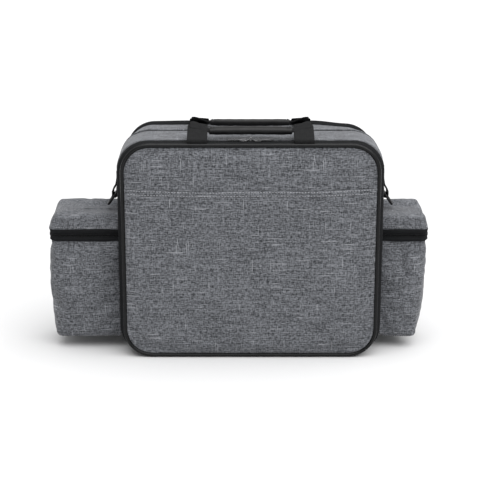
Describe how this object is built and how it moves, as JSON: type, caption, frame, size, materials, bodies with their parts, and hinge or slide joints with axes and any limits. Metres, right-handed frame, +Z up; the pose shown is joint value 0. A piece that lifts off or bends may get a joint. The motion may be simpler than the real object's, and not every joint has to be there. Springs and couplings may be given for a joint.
{
  "type": "salon carry bag",
  "caption": "Soft-sided carry bag with a zipped drop-down front panel, zipped top, two folding handles, zip-lidded side pouches and strap rings.",
  "frame": {"origin": "centre of the flat base, on the surface it stands on, midway across the body and in the body's depth axis plane", "axes": "+X to the right seen from the front, -Y towards the front panel, +Z up"},
  "size_m": [0.6005, 0.1801, 0.3677],
  "materials": {
    "heather_fabric": "woven heathered polyester, matt, light and dark slubs",
    "padding_foam": "closed-cell foam",
    "lining_cloth": "plain nylon lining, slightly shiny",
    "stiff_board": "polyethylene board",
    "wipe_clean_mat": "coated cloth, satin",
    "piping_vinyl": "smooth vinyl, glossy",
    "zip_tape": "knitted tape and nylon coil",
    "webbing": "flat woven webbing",
    "grip_leather": "imitation leather, satin",
    "slider_metal": "black enamel",
    "ring_plastic": "moulded, satin"
  },
  "bodies": {
    "carcass": {"side_base_gusset": "heather_fabric", "top_gusset_front": "heather_fabric", "top_gusset_rear": "heather_fabric", "gusset_foam": "padding_foam", "gusset_lining": "lining_cloth", "base_board": "stiff_board", "back_cover": "heather_fabric", "back_foam": "padding_foam", "back_board": "stiff_board", "back_lining": "lining_cloth", "back_piping": "piping_vinyl", "back_binding": "zip_tape", "front_zip_tape_body": "zip_tape", "main_zip_tape_front": "zip_tape", "main_zip_tape_rear": "zip_tape", "panel_hinge_strip": "lining_cloth", "rear_handle_anchors": "webbing", "left_ring_tab": "webbing", "right_ring_tab": "webbing", "left_pouch_shell": "heather_fabric", "right_pouch_shell": "heather_fabric", "left_pouch_lining": "lining_cloth", "right_pouch_lining": "lining_cloth", "left_pouch_zip_tape": "zip_tape", "right_pouch_zip_tape": "zip_tape", "left_lid_root": "heather_fabric", "right_lid_root": "heather_fabric"},
    "front_panel": {"front_cover": "heather_fabric", "slip_pocket": "heather_fabric", "pocket_hem": "heather_fabric", "front_foam": "padding_foam", "front_board": "stiff_board", "front_inner_mat": "wipe_clean_mat", "front_piping": "piping_vinyl", "front_zip_tape_panel": "zip_tape", "front_handle_anchors": "webbing"},
    "front_handle": {"front_handle_webbing": "webbing", "front_handle_grip": "grip_leather"},
    "rear_handle": {"rear_handle_webbing": "webbing", "rear_handle_grip": "grip_leather"},
    "left_lid": {"left_lid_shell": "heather_fabric", "left_lid_zip_tape": "zip_tape"},
    "right_lid": {"right_lid_shell": "heather_fabric", "right_lid_zip_tape": "zip_tape"},
    "left_ring": {"left_d_ring": "ring_plastic"},
    "right_ring": {"right_d_ring": "ring_plastic"},
    "front_slider_left": {"front_slider_left": "slider_metal"},
    "front_slider_right": {"front_slider_right": "slider_metal"},
    "front_pull_left": {"front_pull_left": "slider_metal"},
    "front_pull_right": {"front_pull_right": "slider_metal"},
    "main_slider_left": {"main_slider_left": "slider_metal"},
    "main_slider_right": {"main_slider_right": "slider_metal"},
    "main_pull_left": {"main_pull_left": "slider_metal"},
    "main_pull_right": {"main_pull_right": "slider_metal"},
    "left_pouch_slider": {"left_pouch_slider": "slider_metal"},
    "right_pouch_slider": {"right_pouch_slider": "slider_metal"},
    "left_pouch_pull": {"left_pouch_pull": "slider_metal"},
    "right_pouch_pull": {"right_pouch_pull": "slider_metal"}
  },
  "joints": [
    {"name": "front_panel_drop", "type": "hinge", "parent": "carcass", "child": "front_panel", "pos_m": [0, -0.078, 0.0134], "axis": [1, 0, 0], "range_deg": [0, 90]},
    {"name": "front_handle_fold", "type": "hinge", "parent": "front_panel", "child": "front_handle", "pos_m": [0, -0.0819, 0.349], "axis": [1, 0, 0], "range_deg": [0, 150]},
    {"name": "rear_handle_fold", "type": "hinge", "parent": "carcass", "child": "rear_handle", "pos_m": [0, 0.0819, 0.349], "axis": [-1, 0, 0], "range_deg": [0, 150]},
    {"name": "left_lid_open", "type": "hinge", "parent": "carcass", "child": "left_lid", "pos_m": [-0.23125, 0.002, 0.2215], "axis": [0, 1, 0], "range_deg": [0, 85]},
    {"name": "right_lid_open", "type": "hinge", "parent": "carcass", "child": "right_lid", "pos_m": [0.23125, 0.002, 0.2215], "axis": [0, -1, 0], "range_deg": [0, 85]},
    {"name": "left_ring_swing", "type": "hinge", "parent": "carcass", "child": "left_ring", "pos_m": [-0.216, 0, 0.246], "axis": [0, 1, 0], "range_deg": [-30, 110]},
    {"name": "right_ring_swing", "type": "hinge", "parent": "carcass", "child": "right_ring", "pos_m": [0.216, 0, 0.246], "axis": [0, -1, 0], "range_deg": [-30, 110]},
    {"name": "front_slider_left_slide", "type": "slide", "parent": "carcass", "child": "front_slider_left", "axis": [-1, 0, 0], "range_m": [0, 0.135]},
    {"name": "front_slider_right_slide", "type": "slide", "parent": "carcass", "child": "front_slider_right", "axis": [1, 0, 0], "range_m": [0, 0.135]},
    {"name": "front_pull_left_swing", "type": "hinge", "parent": "front_slider_left", "child": "front_pull_left", "pos_m": [-0.011, -0.07, 0.3479], "axis": [0, 1, 0], "range_deg": [0, 150]},
    {"name": "front_pull_right_swing", "type": "hinge", "parent": "front_slider_right", "child": "front_pull_right", "pos_m": [0.011, -0.07, 0.3479], "axis": [0, -1, 0], "range_deg": [0, 150]},
    {"name": "main_slider_left_slide", "type": "slide", "parent": "carcass", "child": "main_slider_left", "axis": [-1, 0, 0], "range_m": [0, 0.105]},
    {"name": "main_slider_right_slide", "type": "slide", "parent": "carcass", "child": "main_slider_right", "axis": [1, 0, 0], "range_m": [0, 0.171]},
    {"name": "main_pull_left_swing", "type": "hinge", "parent": "main_slider_left", "child": "main_pull_left", "pos_m": [-0.04, 0.015, 0.3486], "axis": [0, 1, 0], "range_deg": [0, 150]},
    {"name": "main_pull_right_swing", "type": "hinge", "parent": "main_slider_right", "child": "main_pull_right", "pos_m": [-0.0266, 0.015, 0.3486], "axis": [0, -1, 0], "range_deg": [0, 150]},
    {"name": "left_pouch_slider_slide", "type": "slide", "parent": "carcass", "child": "left_pouch_slider", "axis": [-1, 0, 0], "range_m": [0, 0.055]},
    {"name": "right_pouch_slider_slide", "type": "slide", "parent": "carcass", "child": "right_pouch_slider", "axis": [1, 0, 0], "range_m": [0, 0.018]},
    {"name": "left_pouch_pull_swing", "type": "hinge", "parent": "left_pouch_slider", "child": "left_pouch_pull", "pos_m": [-0.241, 0.0534, 0.1892], "axis": [0, 0, -1], "range_deg": [0, 150]},
    {"name": "right_pouch_pull_swing", "type": "hinge", "parent": "right_pouch_slider", "child": "right_pouch_pull", "pos_m": [0.241, 0.0534, 0.1892], "axis": [0, 0, 1], "range_deg": [0, 150]}
  ]
}
